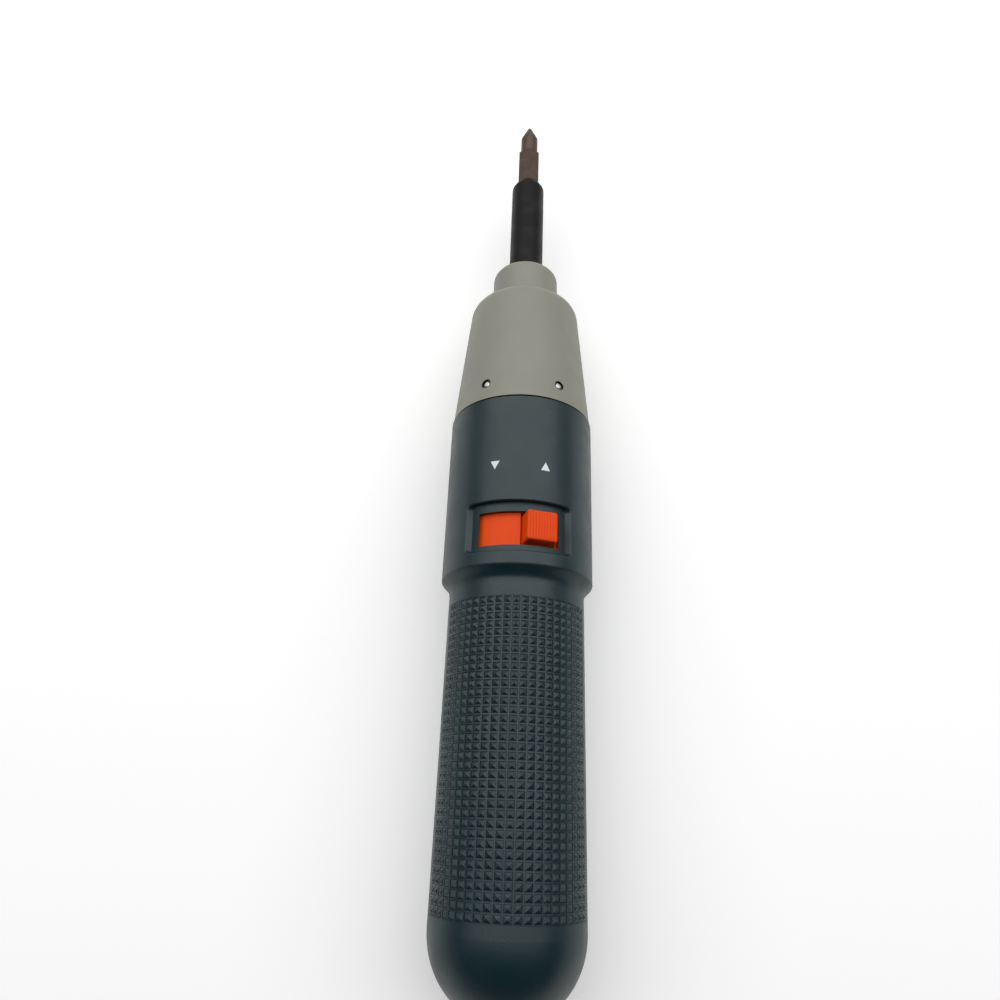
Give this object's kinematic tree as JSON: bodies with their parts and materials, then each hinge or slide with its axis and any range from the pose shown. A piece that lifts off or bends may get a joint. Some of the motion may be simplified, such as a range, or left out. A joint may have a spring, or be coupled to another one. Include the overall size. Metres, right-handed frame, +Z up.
{
  "type": "electric screwdriver",
  "caption": "In-line cordless screwdriver with a round grip, sideways slide-and-press switch, planetary gearing, automatic spindle lock and a hex socket holding a double-ended bit.",
  "frame": {"origin": "centre of the tool's box, at its lowest point as it lies with the switch up", "axes": "+Y along the tool axis towards the bit's tip, +Z up through the switch, +X to the right"},
  "size_m": [0.038, 0.2528, 0.0389],
  "materials": {
    "dark_green_abs": "satin",
    "grey_abs": "satin",
    "orange_abs": "satin",
    "black_steel": "satin",
    "bit_steel": "satin",
    "bare_steel": "satin",
    "nickel_plate": "polished",
    "brass_strip": "satin",
    "bronze_bush": "matte",
    "copper": "satin",
    "nylon": "satin",
    "black_nylon": "matte",
    "ferrite": "matte",
    "carbon": "matte",
    "cell_sleeve": "gloss",
    "foam": "matte",
    "red_wire": "satin"
  },
  "bodies": {
    "housing": {"switch_side_shell": "dark_green_abs", "back_shell": "dark_green_abs", "nose_cone": "grey_abs", "housing_screws": "bare_steel", "charge_contacts": "nickel_plate", "front_bush": "bronze_bush", "thrust_washer": "bare_steel", "lock_ring": "bare_steel", "gear_case": "nylon", "motor_plate": "bare_steel", "motor_screws": "bare_steel", "motor_can": "nickel_plate", "motor_magnets": "ferrite", "motor_end_cap": "black_nylon", "motor_bushes": "bronze_bush", "motor_brushes": "carbon", "motor_terminals": "brass_strip", "switch_base": "black_nylon", "leaf_contacts": "brass_strip", "run_bar": "brass_strip", "brake_bar": "brass_strip", "front_cell": "cell_sleeve", "rear_cell": "cell_sleeve", "cell_link": "nickel_plate", "minus_strap": "nickel_plate", "battery_pad": "foam", "motor_leads": "red_wire", "charge_leads": "red_wire"},
    "spindle": {"output_spindle": "black_steel", "bit_clip": "bare_steel", "lock_rollers": "bare_steel", "output_carrier": "bare_steel", "output_planet_pins": "bare_steel"},
    "bit": {"driver_bit": "bit_steel"},
    "first_stage": {"first_carrier": "bare_steel", "first_planet_pins": "bare_steel"},
    "rotor": {"motor_shaft": "bare_steel", "motor_pinion": "bare_steel", "armature_core": "bare_steel", "armature_winding": "copper", "commutator": "copper"},
    "slider": {"slide_shutter": "orange_abs"},
    "button": {"press_button": "orange_abs"},
    "output_wheel_a": {"output_planet_a": "bare_steel"},
    "output_wheel_b": {"output_planet_b": "bare_steel"},
    "output_wheel_c": {"output_planet_c": "bare_steel"},
    "first_wheel_a": {"first_planet_a": "nylon"},
    "first_wheel_b": {"first_planet_b": "nylon"},
    "first_wheel_c": {"first_planet_c": "nylon"}
  },
  "joints": [
    {"name": "spindle_spin", "type": "hinge", "parent": "housing", "child": "spindle", "pos_m": [0, 0.01121, 0.019], "axis": [0, 1, 0], "continuous": true},
    {"name": "first_stage_spin", "type": "hinge", "parent": "housing", "child": "first_stage", "pos_m": [0, 0.01121, 0.019], "axis": [0, 1, 0], "continuous": true},
    {"name": "rotor_spin", "type": "hinge", "parent": "housing", "child": "rotor", "pos_m": [0, 0.01121, 0.019], "axis": [0, 1, 0], "continuous": true},
    {"name": "output_wheel_a_spin", "type": "hinge", "parent": "spindle", "child": "output_wheel_a", "pos_m": [0.006, 0.01121, 0.019], "axis": [0, 1, 0], "continuous": true},
    {"name": "output_wheel_b_spin", "type": "hinge", "parent": "spindle", "child": "output_wheel_b", "pos_m": [-0.003, 0.01121, 0.0138], "axis": [0, 1, 0], "continuous": true},
    {"name": "output_wheel_c_spin", "type": "hinge", "parent": "spindle", "child": "output_wheel_c", "pos_m": [-0.003, 0.01121, 0.0242], "axis": [0, 1, 0], "continuous": true},
    {"name": "first_wheel_a_spin", "type": "hinge", "parent": "first_stage", "child": "first_wheel_a", "pos_m": [0.006, 0.01121, 0.019], "axis": [0, 1, 0], "continuous": true},
    {"name": "first_wheel_b_spin", "type": "hinge", "parent": "first_stage", "child": "first_wheel_b", "pos_m": [-0.003, 0.01121, 0.0138], "axis": [0, 1, 0], "continuous": true},
    {"name": "first_wheel_c_spin", "type": "hinge", "parent": "first_stage", "child": "first_wheel_c", "pos_m": [-0.003, 0.01121, 0.0242], "axis": [0, 1, 0], "continuous": true},
    {"name": "slider_turn", "type": "hinge", "parent": "housing", "child": "slider", "pos_m": [0, 0.01121, 0.019], "axis": [0, 1, 0], "range_deg": [-33.6, 0]},
    {"name": "button_press", "type": "slide", "parent": "slider", "child": "button", "axis": [-0.289, 0, -0.9573], "range_m": [0, 0.0012], "stiffness_N_per_m": 1500, "springref_m": -0.001, "deforming": ["leaf_contacts"]},
    {"name": "bit_pull", "type": "slide", "parent": "spindle", "child": "bit", "axis": [0, 1, 0], "range_m": [0, 0.033]}
  ],
  "couplings": [
    {"joint": "first_stage_spin", "follows": "rotor_spin", "ratio": 0.1875},
    {"joint": "spindle_spin", "follows": "rotor_spin", "ratio": 0.035156},
    {"joint": "output_wheel_a_spin", "follows": "rotor_spin", "ratio": -0.091406},
    {"joint": "output_wheel_b_spin", "follows": "rotor_spin", "ratio": -0.091406},
    {"joint": "output_wheel_c_spin", "follows": "rotor_spin", "ratio": -0.091406},
    {"joint": "first_wheel_a_spin", "follows": "rotor_spin", "ratio": -0.4875},
    {"joint": "first_wheel_b_spin", "follows": "rotor_spin", "ratio": -0.4875},
    {"joint": "first_wheel_c_spin", "follows": "rotor_spin", "ratio": -0.4875}
  ]
}
